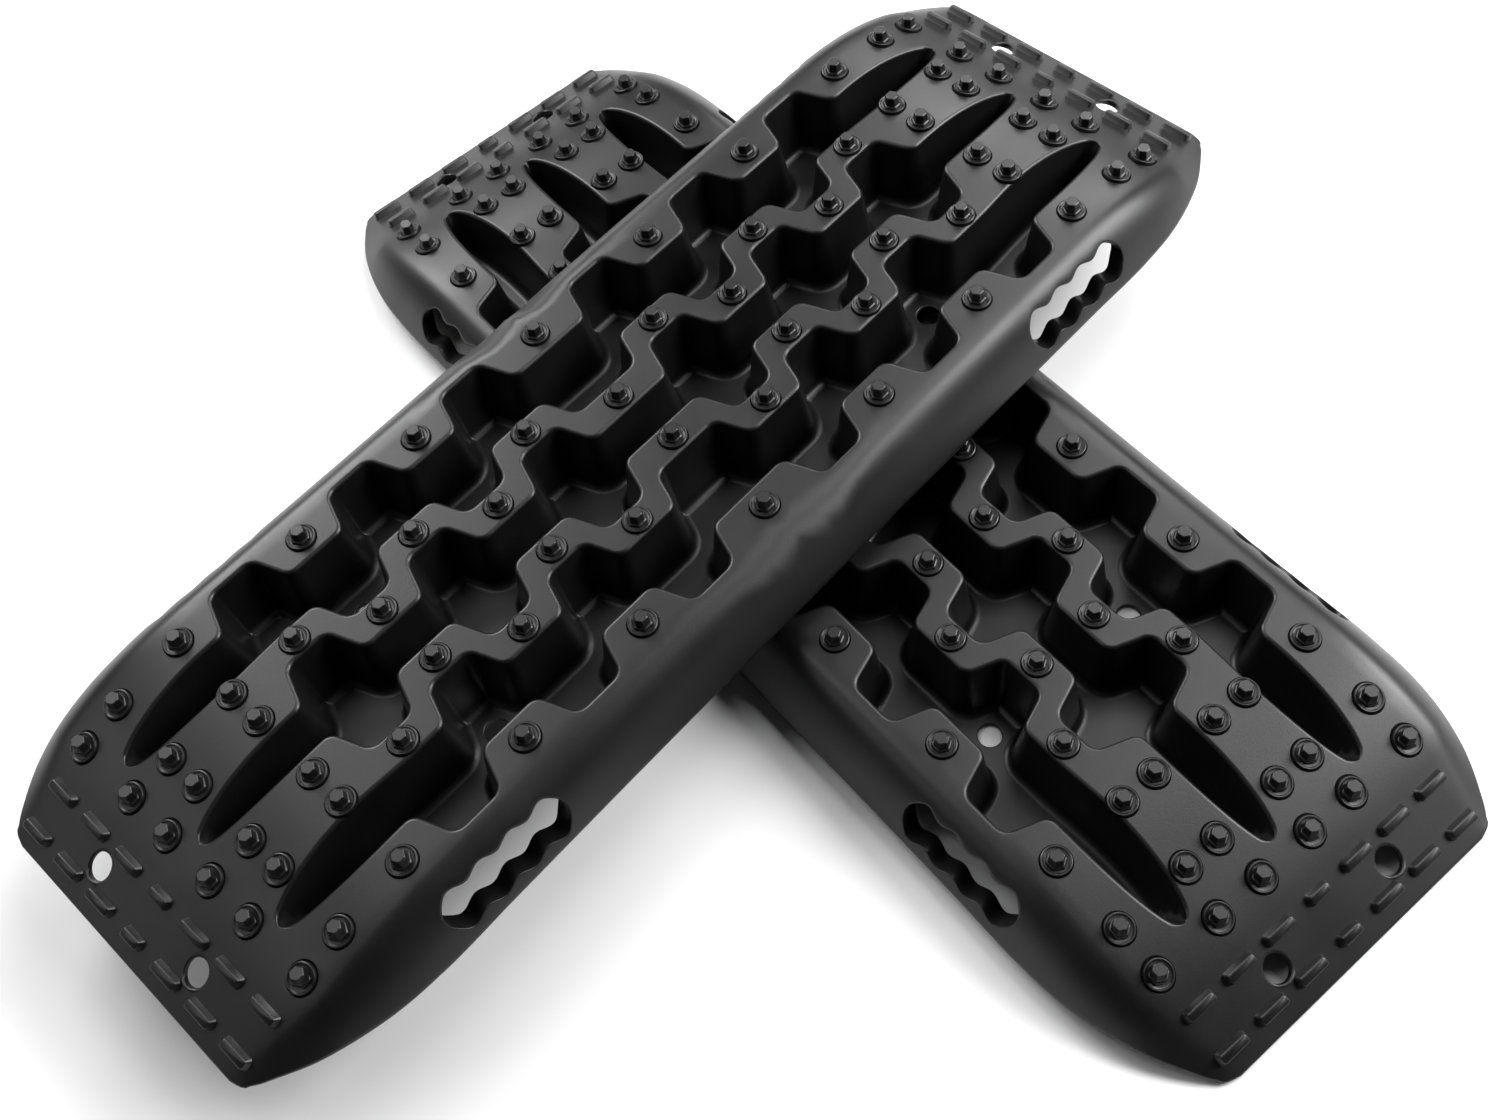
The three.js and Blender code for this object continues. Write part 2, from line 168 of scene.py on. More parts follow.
def deck_z(x):
    """Height of the deck: flat, then an arc, then a straight slope down to the end."""
    past = np.maximum(np.abs(x) - DECK_BREAK, 0)
    arc_length = END_ARC_RADIUS * math.sin(END_SLOPE)
    arc = DECK_HEIGHT - END_ARC_RADIUS + np.sqrt(END_ARC_RADIUS**2 - np.minimum(past, arc_length) ** 2)
    return arc - np.maximum(past - arc_length, 0) * math.tan(END_SLOPE)


def smooth_table(x, table, column):
    """A smooth curve through a table's column: cubic pieces with the neighbours' slopes."""
    xs, ys = table[:, 0], table[:, column]
    slopes = np.gradient(ys, xs)
    i = np.clip(np.searchsorted(xs, x, side="right") - 1, 0, len(xs) - 2)
    width = xs[i + 1] - xs[i]
    t = np.clip((x - xs[i]) / width, 0, 1)
    return ((2 * t**3 - 3 * t**2 + 1) * ys[i] + (t**3 - 2 * t**2 + t) * width * slopes[i]
            + (3 * t**2 - 2 * t**3) * ys[i + 1] + (t**3 - t**2) * width * slopes[i + 1])


def shoulder_y(x):
    """Plan y where the deck turns down into the skirt."""
    past = np.clip((np.abs(x) - SHOULDER_BREAK) / (HALF_LENGTH - SHOULDER_BREAK), 0, 1)
    return SHOULDER_MIDDLE + (SHOULDER_END - SHOULDER_MIDDLE) * past


def skirt_drop(x, y):
    """Drop below the deck outside the shoulder, along a curve that ends at the rim."""
    shoulder = shoulder_y(x)
    rim = smooth_table(np.abs(x), RIM, 1)
    rim_z = DECK_HEIGHT - smooth_table(np.abs(x), RIM, 2)
    beyond = np.abs(y) - shoulder
    past = (beyond + np.sqrt(beyond**2 + SHOULDER_SOFTNESS**2)) / 2
    linear = 2 * (rim - shoulder) * SKIRT_FULLNESS
    square = (rim - shoulder) * (1 - 2 * SKIRT_FULLNESS)
    t = 2 * past / (linear + np.sqrt(linear**2 + 4 * square * past))
    return np.clip(t, 0, SKIRT_OVERRUN) ** 2 * (deck_z(x) - rim_z)


def lane_drop(d, depth):
    """Drop at distance d inside a lane's edge: a rounded brow, a drafted wall, a rounded foot."""
    lean = math.sqrt(1 + WALL_SLOPE**2)
    fit = np.clip(depth / (BROW_RADIUS + FOOT_RADIUS), 0, 1)
    brow, foot = BROW_RADIUS * fit, FOOT_RADIUS * fit
    brow_start = brow * (1 - lean) / WALL_SLOPE
    brow_end = brow_start + brow * WALL_SLOPE / lean
    foot_end = depth / WALL_SLOPE - foot * (1 - lean) / WALL_SLOPE
    foot_start = foot_end - foot * WALL_SLOPE / lean
    brow_arc = brow - np.sqrt(np.maximum(brow**2 - (d - brow_start) ** 2, 0))
    foot_arc = depth - foot + np.sqrt(np.maximum(foot**2 - (foot_end - d) ** 2, 0))
    return np.select(
        [d <= brow_start, d < brow_end, d < foot_start, d < foot_end],
        [0 * d, brow_arc, WALL_SLOPE * d, foot_arc], depth)


def resample(points, step):
    """The same polyline with points about one step apart."""
    lengths = np.linalg.norm(np.diff(points, axis=0), axis=1)
    along = np.concatenate([[0], np.cumsum(lengths)])
    count = max(2, round(along[-1] / step) + 1)
    at = np.linspace(0, along[-1], count)
    return np.column_stack([np.interp(at, along, points[:, i]) for i in range(2)])


OUTLINE_STEP = 0.2
TIP_POINTS = 160
DISTANCE_STEP = 0.4
MIRROR_REACH = 60


def lane_outlines():
    """The lanes' edges in the quarter x, y >= 0. Both run so that the lane is on their left."""
    turn = np.linspace(0, math.pi / 2, TIP_POINTS)
    tip_x = TIP_START + (TIP_END - TIP_START) * np.sin(turn)
    x = np.concatenate([np.arange(0, TIP_START, OUTLINE_STEP), tip_x])
    inner, outer, rail = lane_edges(x)
    centre = np.column_stack([x, inner])[::-1]
    side = np.concatenate([np.column_stack([x, outer]), np.column_stack([x, rail])[-2::-1]])
    return [centre, side]


def left_normals(points):
    """Unit vectors to the left of a polyline's direction, at each of its points."""
    along = np.gradient(points, axis=0)
    along /= np.linalg.norm(along, axis=1)[:, None]
    return np.column_stack([-along[:, 1], along[:, 0]])


class Distance:
    """Distance in plan to a set of polylines."""

    def __init__(self, polylines):
        self.points = np.concatenate(polylines)
        ends = np.cumsum([len(p) for p in polylines]) - 1
        starts = np.concatenate([[0], ends[:-1] + 1])
        self.first = np.zeros(len(self.points), bool)
        self.last = np.zeros(len(self.points), bool)
        self.first[starts] = True
        self.last[ends] = True
        self.tree = KDTree(len(self.points))
        for i, (x, y) in enumerate(self.points):
            self.tree.insert((x, y, 0), i)
        self.tree.balance()

    def __call__(self, points):
        nearest = np.array([self.tree.find((x, y, 0))[1] for x, y in points])
        before = np.where(self.first[nearest], nearest, nearest - 1)
        after = np.where(self.last[nearest], nearest, nearest + 1)
        return np.minimum(
            self.to_segments(points, before, nearest),
            self.to_segments(points, nearest, after))

    def to_segments(self, points, a, b):
        start, span = self.points[a], self.points[b] - self.points[a]
        square = np.maximum((span**2).sum(1), TINY)
        t = np.clip(((points - start) * span).sum(1) / square, 0, 1)
        return np.linalg.norm(points - start - t[:, None] * span, axis=1)


def lane_edge_distance(outlines):
    """Distance to the quarter's lane edges and to those just across its two axes."""
    centre, side = outlines
    centre_mirrored, side_mirrored = (p[p[:, 0] < MIRROR_REACH] * (-1, 1) for p in outlines)
    half = len(side_mirrored) // 2
    polylines = (
        centre, side, centre_mirrored, centre * (1, -1), side_mirrored[:half], side_mirrored[half:])
    return Distance([resample(p, DISTANCE_STEP) for p in polylines])


OUTLINES = lane_outlines()
edge_distance = lane_edge_distance(OUTLINES)


def lane_distance(points):
    """Distance from the nearest lane edge, positive inside a lane, for x, y >= 0."""
    x, y = points[:, 0], points[:, 1]
    inner, outer, rail = lane_edges(x)
    inside = (x < TIP_END) & ((y < inner) | ((y > outer) & (y < rail)))
    return edge_distance(points) * np.where(inside, 1, -1)


def base_z(points, d):
    """Height of the top skin with no studs' seats, holes or rounded rims."""
    x, y = points[:, 0], points[:, 1]
    deck = deck_z(x)
    ramp = np.clip((x - RAMP_START) / (TIP_END - RAMP_START), 0, 1)
    depth = (deck - FLOOR_THICKNESS) * (1 - ramp)
    return deck - lane_drop(d, depth) - skirt_drop(x, y)


def base_normals(points, step=0.05):
    """The top skin's own normals, taken from its heights."""
    slopes = []
    for offset in ((step, 0), (0, step)):
        ahead, behind = np.abs(points + offset), np.abs(points - offset)
        rise = base_z(ahead, lane_distance(ahead)) - base_z(behind, lane_distance(behind))
        slopes.append(-rise / (2 * step))
    normals = np.column_stack([*slopes, np.ones(len(points))])
    return normals / np.linalg.norm(normals, axis=1)[:, None]


# Outlines of the rim, the holes and the slots ---------------------------------------------------

RIM_STEP = 3.0
CORNER_START, CORNER_POINTS = 455.0, 24
SLOT_STEP = 1.7
STEPS_PER_FINGER = 22
SLOT_GROWTH_ACROSS = 0.7


def rim_outline():
    """The quarter's outer edge, from the middle of the side to the middle of the end."""
    xs = np.concatenate([
        np.arange(0, CORNER_START, RIM_STEP),
        np.linspace(CORNER_START, HALF_LENGTH, CORNER_POINTS)])
    side = np.column_stack([xs, smooth_table(xs, RIM, 1)])
    end = np.array([[HALF_LENGTH, y] for y in np.arange(RIM[-1, 1] - RIM_STEP, -1, -RIM_STEP)])
    edge = resample(np.concatenate([side, end]), RIM_STEP)
    inset = edge - left_normals(edge) * LIP_INSET
    inset[0, 0] = 0
    inset[-1, 1] = 0
    return inset


def ring(x, y, radius, count=32):
    """A circle in plan."""
    angles = np.arange(count) * 2 * math.pi / count
    return np.column_stack([x + radius * np.cos(angles), y + radius * np.sin(angles)])


def slot_outline(grow=0.0):
    """A handle slot in plan: rounded ends, with a scallop for each finger on both edges."""
    t = np.linspace(0, 1, FINGERS * STEPS_PER_FINGER + 1)
    wave = -np.cos(2 * math.pi * FINGERS * t)
    taper = np.minimum(1, SLOT_END_SHARE * np.minimum(t, 1 - t))
    taper = np.sqrt(1 - (1 - taper) ** 2)
    middle = (SLOT_TOP_Y + SLOT_BOTTOM_Y) / 2
    x = SLOT_X + (2 * t - 1) * (SLOT_HALF_LENGTH + grow)
    half = (SLOT_BOTTOM_Y - SLOT_TOP_Y) / 2
    growth = grow * SLOT_GROWTH_ACROSS * np.sign(taper)
    top = middle - (half + SLOT_TOP_WAVE * wave) * taper - growth
    bottom = middle + (half + SLOT_BOTTOM_WAVE * wave) * taper + growth
    loop = np.concatenate([np.column_stack([x, bottom]), np.column_stack([x, top])[-2:0:-1]])
    return resample(np.concatenate([loop, loop[:1]]), SLOT_STEP)[:-1]


# Triangles of the top skin ----------------------------------------------------------------------

# Distances in plan, in millimetres: from a lane's edge, negative outside the lane, and from an open edge.
EDGE_LEVELS = (-2.62, -1.8, -1.0, -0.35, 0.35, 2.2, 4.2, 6.25, 6.8, 7.9, 9.6, 12.2)
LEVEL_TOLERANCE = 0.04
LIP_LEVELS = (0.0, 0.25, 0.65, EDGE_ROUNDING)
# Shares of the way from the shoulder to the rim.
SKIRT_SHARES = (0.0, 0.07, 0.14, 0.21, 0.28, 0.36, 0.45, 0.54, 0.63, 0.72, 0.8, 0.88)
SKIRT_STEP, SKIRT_SPACING = 7.0, 2.0
GRID_STEP, GRID_WIDTH, GRID_SPACING = 8.0, 124.0, 3.0
AXIS_STEP = 6.0
CURVE_STEP = 2.5
LARGEST_GAP = 6.0
SAME_POINT = 1e-5
AXIS_SNAP = 0.15
LEAST_CHANGE = 1e-4
SEAT_RINGS = (SEAT_RADIUS - 0.05, SEAT_RADIUS + 0.12, SEAT_RADIUS + 0.45)
SEAT_RING_DEPTHS = (SEAT_DEPTH, 0.3, 0)
SEAT_RING_POINTS = 40
PAD_EDGE = 0.6
RING_TOLERANCE, PAD_TOLERANCE = 1e-3, 0.02


class Sketch:
    """Points and lines in plan, to be joined into triangles."""

    def __init__(self):
        self.points = []
        self.lines = []

    def polyline(self, points, closed=False, largest_gap=LARGEST_GAP):
        first = len(self.points)
        self.points.extend(map(tuple, points))
        count = len(points)
        for i in range(count if closed else count - 1):
            a, b = points[i], points[(i + 1) % count]
            if math.dist(a, b) < largest_gap:
                self.lines.append((first + i, first + (i + 1) % count))

    def scatter(self, points, spacing):
        tree = KDTree(len(self.points))
        for i, (x, y) in enumerate(self.points):
            tree.insert((x, y, 0), i)
        tree.balance()
        self.points.extend((x, y) for x, y in points if tree.find((x, y, 0))[2] > spacing)

    def triangles(self):
        made = delaunay_2d_cdt([Vector(p) for p in self.points], self.lines, [], 0, SAME_POINT)
        return np.array([tuple(v) for v in made[0]]), np.array(made[2])


def in_quarter(points):
    """The points with x, y >= 0. Those very near an axis are moved onto it."""
    points = np.where(np.abs(points) < AXIS_SNAP, 0, points)
    return points[(points >= 0).all(axis=1)]


def inside_polygon(points, polygon):
    """Which points lie inside a polygon in plan."""
    x, y = points[:, 0], points[:, 1]
    inside = np.zeros(len(points), bool)
    for (ax, ay), (bx, by) in zip(polygon, np.roll(polygon, -1, axis=0)):
        if ay != by:
            crosses = ((ay > y) != (by > y)) & (x < (bx - ax) * (y - ay) / (by - ay) + ax)
            inside ^= crosses
    return inside


def seated_studs():
    """Places of the quarter's studs on the flat deck: those on the rib and those on the rail."""
    near_y, far_y = (INNER_NEAR + OUTER_NEAR) / 2, (INNER_FAR + OUTER_FAR) / 2
    ribs = [(row_x(row), far_y if row % 2 else near_y) for row in range(LAST_BEND + 1)]
    rails = [(row_x(row), RAIL_STUD_Y) for row in (0, 2, 4)]
    return ribs, rails


def end_studs():
    """Places of the studs on the quarter's sloped end."""
    rows = (
        (row_x(LAST_BEND + 1), PAIR_STUDS_Y),
        (SECOND_ROW_X, PAIR_STUDS_Y),
        (LAST_ROW_X, LAST_ROW_STUDS_Y),
    )
    return [(x, y) for x, pair in rows for y in (*pair, END_RAIL_STUD_Y)]


def quarter_studs():
    ribs, rails = seated_studs()
    return ribs + rails + end_studs()


def rim_rows(rim):
    """Points on the skirt between the shoulder and the rim."""
    points = []
    for share in SKIRT_SHARES:
        for x in np.arange(0, HALF_LENGTH, SKIRT_STEP):
            shoulder, edge = shoulder_y(x), smooth_table(np.array(x), RIM, 1)
            points.append((x, shoulder + (edge - LIP_INSET - shoulder) * share))
    points = np.array(points)
    keep = inside_polygon(points, rim)
    return points[keep]


def sketch_border(sketch, rim):
    """The rim, the lines beside it, and points along both axes."""
    sketch.polyline(rim)
    for level in LIP_LEVELS[1:]:
        inner_rim = rim - left_normals(rim) * level
        inner_rim[0, 0] = 0
        inner_rim[-1, 1] = 0
        sketch.polyline(inner_rim)
    across = np.arange(0, rim[0, 1], AXIS_STEP)
    sketch.polyline(np.column_stack([0 * across, across]), largest_gap=0)
    along = np.arange(0, rim[-1, 0], AXIS_STEP)
    sketch.polyline(np.column_stack([along, 0 * along]), largest_gap=0)


def sketch_lanes(sketch):
    """Lines along the lanes' edges, at each distance where the wall's curve needs one."""
    for outline in OUTLINES:
        curve = resample(outline, CURVE_STEP)
        normals = left_normals(curve)
        for level in EDGE_LEVELS:
            moved = curve + normals * level
            true = edge_distance(moved) >= abs(level) - LEVEL_TOLERANCE
            sketch.polyline(in_quarter(moved[true]))


def sketch_holes(sketch):
    """The round holes and the handle slot, with the lines of their rounded edges."""
    for x, y, radius in (END_HOLE, FLOOR_HOLE):
        for level in LIP_LEVELS:
            sketch.polyline(ring(x, y, radius + level), closed=True)
    for level in LIP_LEVELS:
        sketch.polyline(slot_outline(level), closed=True)
    for radius in (PAD_RADIUS, PAD_RADIUS + PAD_EDGE):
        sketch.polyline(ring(*END_HOLE[:2], radius), closed=True)


def sketch_seats(sketch):
    """The circles of the studs' seats. A seat on the middle line is half a circle here."""
    for x, y in quarter_studs():
        for radius in SEAT_RINGS:
            circle = in_quarter(ring(x, y, radius, SEAT_RING_POINTS))
            if x == 0:
                circle = circle[np.argsort(circle[:, 1])]
            sketch.polyline(circle, closed=x > 0)


def deck_grid(border):
    """Points spread over the deck inside the shoulder."""
    xs = np.arange(GRID_STEP / 2, HALF_LENGTH, GRID_STEP)
    ys = np.arange(GRID_STEP / 2, GRID_WIDTH, GRID_STEP)
    grid = np.stack(np.meshgrid(xs, ys), -1).reshape(-1, 2)
    return grid[inside_polygon(grid, border) & (grid[:, 1] < shoulder_y(grid[:, 0]))]


def quarter_triangles():
    """Plan triangles of the quarter x, y >= 0 without its holes, and the distance to its open edges."""
    sketch = Sketch()
    rim = rim_outline()
    border = np.concatenate([rim, [[0.0, 0.0]]])
    holes = [ring(*END_HOLE), ring(*FLOOR_HOLE), slot_outline()]
    sketch_border(sketch, rim)
    sketch_lanes(sketch)
    sketch_holes(sketch)
    sketch_seats(sketch)
    sketch.scatter(rim_rows(rim), SKIRT_SPACING)
    sketch.scatter(deck_grid(border), GRID_SPACING)
    points, triangles = sketch.triangles()
    middles = points[triangles].mean(axis=1)
    keep = inside_polygon(middles, border) & (points[triangles].max(axis=1) > 0).all(axis=1)
    for hole in holes:
        keep &= ~inside_polygon(middles, hole)
    edge_lines = Distance([rim] + [np.concatenate([h, h[:1]]) for h in holes])
    return points, triangles[keep], edge_lines


def detailed_z(points, z, edge_lines):
    """Adds the studs' seats, the pads of the end holes and the rounded rims to the base height."""
    x, y = points[:, 0], points[:, 1]
    deck = deck_z(x)
    for sx, sy in quarter_studs():
        r = np.hypot(x - sx, y - sy)
        seat = deck - np.interp(r, SEAT_RINGS, SEAT_RING_DEPTHS)
        z = np.where(r < SEAT_RINGS[-1] - RING_TOLERANCE, np.minimum(z, seat), z)
    hx, hy, _ = END_HOLE
    r = np.hypot(x - hx, y - hy)
    pad = np.maximum(deck, deck_z(np.array(hx)) - PAD_DROP)
    z = np.where(r < PAD_RADIUS + PAD_TOLERANCE, np.maximum(z, pad), z)
    e = np.minimum(edge_lines(points), EDGE_ROUNDING)
    drop = EDGE_ROUNDING - np.sqrt(EDGE_ROUNDING**2 - (EDGE_ROUNDING - e) ** 2)
    return z - drop * EDGE_ROUNDING_SHARE


# The closed board -------------------------------------------------------------------------------

# A slot's wall: from its outer edge to its inner one, at its upper and its lower side, and on behind.
GRIP_INWARD = np.array([0, -3.9, -3.1])
SHELF_INWARD = np.array([0, -11.0, 1.6])
SLOT_BEHIND_ALONG, SLOT_BEHIND_ACROSS, SLOT_BEHIND_FALL = 2.4, 1.5, 1.9
SLOT_BEHIND_DROP = (0, 0, -0.8)
SLOT_END_MARGIN, SLOT_TOP_MARGIN, SLOT_BOTTOM_MARGIN = 2, 4, 3
THICK_BELOW, THIN_ABOVE = 5, 20  # heights between which the shell thickens to the lane floor's thickness


def four_quarters(points, triangles, heights):
    """Mirrors a quarter into the whole plan and merges what lies on the two axes.

    Each row of heights is a base height, a detailed height and a normal's x, y and z.
    """
    corners, faces, values = [], [], []
    for sx, sy in ((1, 1), (-1, 1), (-1, -1), (1, -1)):
        offset = len(points) * len(corners)
        corners.append(points * (sx, sy))
        values.append(heights * (1, 1, sx, sy, 1))
        faces.append((triangles if sx * sy > 0 else triangles[:, ::-1]) + offset)
    corners, values, faces = np.concatenate(corners), np.concatenate(values), np.concatenate(faces)
    _, kept, index = np.unique(np.round(corners, 4) + 0.0, axis=0, return_index=True, return_inverse=True)
    index = index.reshape(-1)
    faces = index[faces]
    used, faces = np.unique(faces, return_inverse=True)
    return corners[kept[used]], faces.reshape(-1, 3), values[kept[used]]


def vertex_normals(vertices, faces):
    """Each corner's face normals, weighted by the angle that the face has there."""
    a, b, c = (vertices[faces[:, i]] for i in range(3))
    flat = np.cross(b - a, c - a)
    flat /= np.maximum(np.linalg.norm(flat, axis=1), TINY)[:, None]
    normals = np.zeros_like(vertices)
    for i in range(3):
        p, q, r = (vertices[faces[:, (i + k) % 3]] for k in range(3))
        u = (q - p) / np.maximum(np.linalg.norm(q - p, axis=1), TINY)[:, None]
        v = (r - p) / np.maximum(np.linalg.norm(r - p, axis=1), TINY)[:, None]
        angle = np.arccos(np.clip((u * v).sum(1), -1, 1))
        np.add.at(normals, faces[:, i], flat * angle[:, None])
    return normals / np.maximum(np.linalg.norm(normals, axis=1), TINY)[:, None]


def border_edges(faces):
    """Edges that only one triangle has, in that triangle's direction."""
    edges = np.concatenate([faces[:, [0, 1]], faces[:, [1, 2]], faces[:, [2, 0]]])
    pairs = {tuple(e) for e in edges}
    return [(a, b) for a, b in pairs if (b, a) not in pairs]


def at_slot(point):
    """Whether a border point belongs to a handle slot, not to the rim or to a round hole."""
    x, y = abs(point[0]), abs(point[1])
    return (abs(x - SLOT_X) < SLOT_HALF_LENGTH + SLOT_END_MARGIN
            and SLOT_TOP_Y - SLOT_TOP_MARGIN < y < SLOT_BOTTOM_Y + SLOT_BOTTOM_MARGIN)


def slot_lip(top):
    """Two more rows for a handle slot's wall: the inner edge of its grip or shelf, and the edge behind."""
    side = np.sign(top[1])
    low = smoothstep(abs(top[1]), SLOT_TOP_Y, SLOT_BOTTOM_Y - 1)
    inward = GRIP_INWARD * (1 - low) + SHELF_INWARD * low
    along = np.clip((abs(top[0]) - SLOT_X) / SLOT_HALF_LENGTH, -1, 1) ** 5 * np.sign(top[0])
    across = (low * 2 - 1) * (1 - abs(along))
    behind = np.array([along * SLOT_BEHIND_ALONG, across * SLOT_BEHIND_ACROSS, -across * SLOT_BEHIND_FALL])
    flip = (1, side, 1)
    inner = top + inward * flip
    return [inner, inner + (behind + SLOT_BEHIND_DROP) * flip]


def edge_walls(faces, vertices, under_start):
    """Faces that join the top skin to the one under it along every open edge. Adds the slots' rows."""
    quads = []
    rows = {}
    for a, b in border_edges(faces):
        for v in (a, b):
            if v not in rows:
                lips = slot_lip(vertices[v]) if at_slot(vertices[v]) else []
                rows[v] = [v, *range(len(vertices), len(vertices) + len(lips)), v + under_start]
                vertices.extend(lips)
        for (a0, a1), (b0, b1) in zip(zip(rows[a], rows[a][1:]), zip(rows[b], rows[b][1:])):
            quads.append((b0, a0, a1, b1))
    return quads


def board_mesh():
    """Vertices and faces of a whole mat's shell, in millimetres, and the normals of its first vertices.

    A normal of zero leaves the choice to Blender, where the skin has a detail that isn't in its base.
    """
    points, triangles, edge_lines = quarter_triangles()
    d = lane_distance(points)
    base = base_z(points, d)
    detailed = detailed_z(points, base, edge_lines)
    quarter = np.column_stack([base, detailed, base_normals(points)])
    plan, faces, heights = four_quarters(points, triangles, quarter)
    spans = plan[faces]
    area = np.cross(spans[:, 1] - spans[:, 0], spans[:, 2] - spans[:, 0])
    faces = np.where(area[:, None] < 0, faces[:, ::-1], faces)
    plain = np.column_stack([plan, heights[:, 0]])
    top = np.column_stack([plan, heights[:, 1]])
    changed = np.abs(heights[:, 1] - heights[:, 0]) > LEAST_CHANGE
    normals = np.where(changed[:, None], 0, heights[:, 2:])
    near_ground = smoothstep(-plain[:, 2], -THIN_ABOVE, -THICK_BELOW)
    thick = SHELL_THICKNESS + (FLOOR_THICKNESS - SHELL_THICKNESS) * near_ground
    under = plain - vertex_normals(plain, faces) * thick[:, None]
    under[:, 2] = np.maximum(under[:, 2], 0)
    vertices = [*top, *under]
    walls = edge_walls(faces, vertices, len(top))
    under_faces = faces[:, ::-1] + len(top)
    return np.array(vertices), [*map(tuple, faces), *map(tuple, under_faces), *walls], normals


# Cleats and studs -------------------------------------------------------------------------------

LOOP = 36
CLEAT_PROFILE = (  # z, length, width of a cleat's loops
    (-1.0, 24.4, 9.6), (0.0, 24.0, 9.0), (0.4, 23.5, 8.3),
    (3.8, 21.8, 6.3), (4.5, 21.1, 5.6), (4.8, 20.0, 4.5),
)
MIDDLE_CLEAT_SHORTER = 6.0
CLEATS_BESIDE_MIDDLE = 3
CLEAT_CORNER, CLEAT_CORNER_STEPS = 0.3, 4
FLANGE_PROFILE = (  # radius, z above the deck
    (9.75, -1.35), (9.75, 1.3), (9.55, 1.8), (9.1, 2.05), (8.6, 2.0), (8.1, 1.6), (7.4, 1.45),
)
PEG_PROFILE = (  # distance to a flat, z above the deck
    (6.2, 1.3), (6.1, 2.2), (5.7, 2.8), (4.95, 3.2), (4.7, 3.7), (4.3, 9.0), (4.1, 9.65), (3.6, 10.0),
)
PEG_CORNER = 1.115


def stack(loops):
    """A closed body from loops of equal length, the first one lowest."""
    count = len(loops[0])
    vertices = [tuple(v) for loop in loops for v in loop]
    faces = [tuple(range(count))[::-1]]
    for level in range(len(loops) - 1):
        for i in range(count):
            j = (i + 1) % count
            low, high = level * count, (level + 1) * count
            faces.append((low + i, low + j, high + j, high + i))
    faces.append(tuple(range(len(vertices) - count, len(vertices))))
    return vertices, faces


def joined(parts):
    """Vertices and faces of several parts as one."""
    vertices, faces = [], []
    for part_vertices, part_faces in parts:
        faces.extend(tuple(i + len(vertices) for i in face) for face in part_faces)
        vertices.extend(part_vertices)
    return vertices, faces


def rounded_box_loop(length, width, z):
    """A level loop round a rectangle with round corners."""
    radius = min(length, width) * CLEAT_CORNER
    loop = []
    for quarter, (sx, sy) in enumerate(((1, 1), (-1, 1), (-1, -1), (1, -1))):
        for step in range(CLEAT_CORNER_STEPS + 1):
            angle = (quarter + step / CLEAT_CORNER_STEPS) * math.pi / 2
            loop.append((sx * (length / 2 - radius) + radius * math.cos(angle),
                         sy * (width / 2 - radius) + radius * math.sin(angle), z))
    return loop


def lying_on_deck(vertices, x, y):
    """Moves vertices made about the origin to a place on the deck, turned to its slope."""
    rise_in_one_mm = float(deck_z(np.array(x + 0.5)) - deck_z(np.array(x - 0.5)))
    lean = Matrix.Rotation(-math.atan(rise_in_one_mm), 4, "Y")
    place = Matrix.Translation((x, y, float(deck_z(np.array(x))))) @ lean
    return [tuple(place @ Vector(v)) for v in vertices]


def cleats():
    """The two rows of cleats at both ends."""
    parts = []
    for x in CLEAT_ROWS_X:
        for column in range(-CLEATS_BESIDE_MIDDLE, CLEATS_BESIDE_MIDDLE + 1):
            trim = 0 if column else MIDDLE_CLEAT_SHORTER
            loops = [rounded_box_loop(width, length - trim, z) for z, length, width in CLEAT_PROFILE]
            vertices, faces = stack(loops)
            for side in (1, -1):
                parts.append((lying_on_deck(vertices, side * x, column * CLEAT_SPACING), faces))
    return parts


def peg_radius(angle, apothem):
    """Distance from a hexagon's centre to its outline, with softened corners."""
    within = (angle % (math.pi / 3)) - math.pi / 6
    return min(apothem / math.cos(within), apothem * PEG_CORNER)


def loop_angles():
    return [i * 2 * math.pi / LOOP for i in range(LOOP)]


def peg_loops():
    loops = []
    for apothem, z in PEG_PROFILE:
        radii = [(angle, peg_radius(angle, apothem)) for angle in loop_angles()]
        loops.append([(radius * math.cos(angle), radius * math.sin(angle), z) for angle, radius in radii])
    return loops


def flange_loops():
    return [[(r * math.cos(a), r * math.sin(a), z) for a in loop_angles()] for r, z in FLANGE_PROFILE]


def stud_at(x, y):
    """A stud with its flange on the deck and its peg upright."""
    flange_vertices, flange_faces = stack(flange_loops())
    peg_vertices, peg_faces = stack(peg_loops())
    deck = float(deck_z(np.array(x)))
    upright = [(vx + x, vy + y, vz + deck) for vx, vy, vz in peg_vertices]
    return [(lying_on_deck(flange_vertices, x, y), flange_faces), (upright, peg_faces)]


# Placing the pieces on the frame ----------------------------------------------------------------

def box_middle(name):
    low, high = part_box(name)
    return (Vector(low) + Vector(high)) / 2


def mat_place(mat):
    """The matrix from a mat's own frame, in millimetres, to the shared frame, in metres."""
    along = box_middle(f"{mat}_left_rib_stud_11") - box_middle(f"{mat}_left_rib_stud_01")
    angle = math.atan2(along.y, along.x)
    origin = box_middle(f"{mat}_mat_board")
    origin.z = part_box(f"{mat}_mat_board")[0][2]
    return Matrix.Translation(origin) @ Matrix.Rotation(angle, 4, "Z") @ Matrix.Scale(MM, 4)


